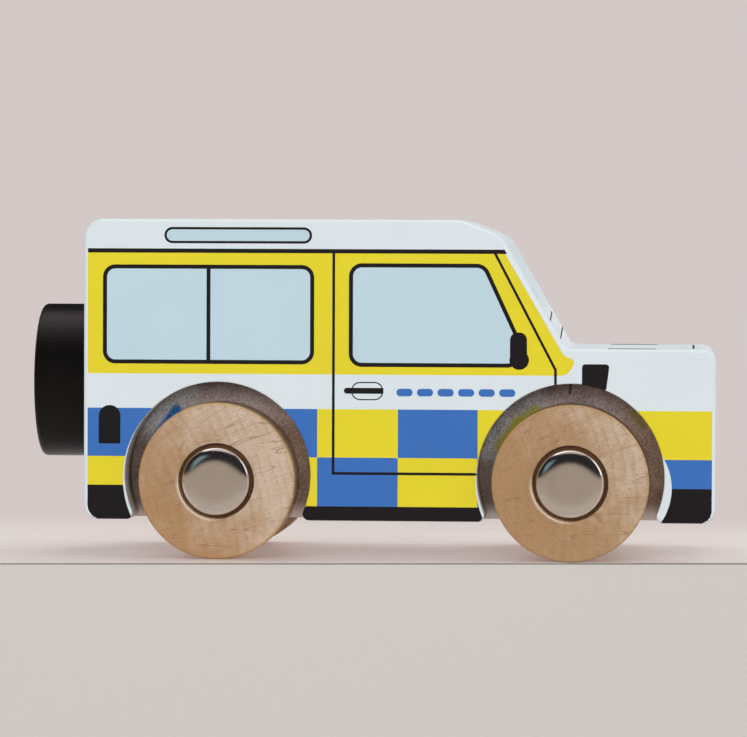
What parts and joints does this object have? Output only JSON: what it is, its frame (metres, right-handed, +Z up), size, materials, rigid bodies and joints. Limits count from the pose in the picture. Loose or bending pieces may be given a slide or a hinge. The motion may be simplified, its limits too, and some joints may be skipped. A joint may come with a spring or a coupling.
{
  "type": "toy police car",
  "caption": "Solid wooden toy off-roader with a checked patrol livery, round wheel pockets, free-turning wooden wheels on steel axles with domed caps, and a spare wheel on the back.",
  "frame": {"origin": "on the ground, midway between the spare wheel's outer face and the front face, on the car's centre plane", "axes": "+X along the car towards the bonnet, +Y to the car's left, +Z up"},
  "size_m": [0.138, 0.0594, 0.068],
  "materials": {
    "body_paint": "white satin paint over wood, with a printed blue and yellow check livery",
    "wheel_wood": "clear oiled beech",
    "spare_paint": "black satin paint over wood",
    "cap_steel": "bright nickel plate",
    "axle_steel": "bright drawn rod",
    "grip_steel": "blued spring steel",
    "spacer_plastic": "natural nylon"
  },
  "bodies": {
    "car_body": {"body_block": "body_paint", "spacer_front_left": "spacer_plastic", "spacer_front_right": "spacer_plastic", "spacer_rear_left": "spacer_plastic", "spacer_rear_right": "spacer_plastic", "spare_wheel": "spare_paint", "spare_dowel": "spare_paint"},
    "front_axle_set": {"front_axle": "axle_steel", "cap_front_left": "cap_steel", "cap_front_right": "cap_steel", "grip_front_left": "grip_steel", "grip_front_right": "grip_steel"},
    "rear_axle_set": {"rear_axle": "axle_steel", "cap_rear_left": "cap_steel", "cap_rear_right": "cap_steel", "grip_rear_left": "grip_steel", "grip_rear_right": "grip_steel"},
    "front_left_wheel": {"wheel_front_left": "wheel_wood"},
    "front_right_wheel": {"wheel_front_right": "wheel_wood"},
    "rear_left_wheel": {"wheel_rear_left": "wheel_wood"},
    "rear_right_wheel": {"wheel_rear_right": "wheel_wood"}
  },
  "joints": [
    {"name": "front_axle_spin", "type": "hinge", "parent": "car_body", "child": "front_axle_set", "pos_m": [0.0402, 0, 0.01565], "axis": [0, 1, 0], "continuous": true},
    {"name": "rear_axle_spin", "type": "hinge", "parent": "car_body", "child": "rear_axle_set", "pos_m": [-0.0304, 0, 0.01565], "axis": [0, 1, 0], "continuous": true},
    {"name": "front_left_wheel_spin", "type": "hinge", "parent": "front_axle_set", "child": "front_left_wheel", "pos_m": [0.0402, 0.02, 0.01565], "axis": [0, 1, 0], "continuous": true},
    {"name": "front_right_wheel_spin", "type": "hinge", "parent": "front_axle_set", "child": "front_right_wheel", "pos_m": [0.0402, -0.02, 0.01565], "axis": [0, 1, 0], "continuous": true},
    {"name": "rear_left_wheel_spin", "type": "hinge", "parent": "rear_axle_set", "child": "rear_left_wheel", "pos_m": [-0.0304, 0.02, 0.01565], "axis": [0, 1, 0], "continuous": true},
    {"name": "rear_right_wheel_spin", "type": "hinge", "parent": "rear_axle_set", "child": "rear_right_wheel", "pos_m": [-0.0304, -0.02, 0.01565], "axis": [0, 1, 0], "continuous": true}
  ]
}
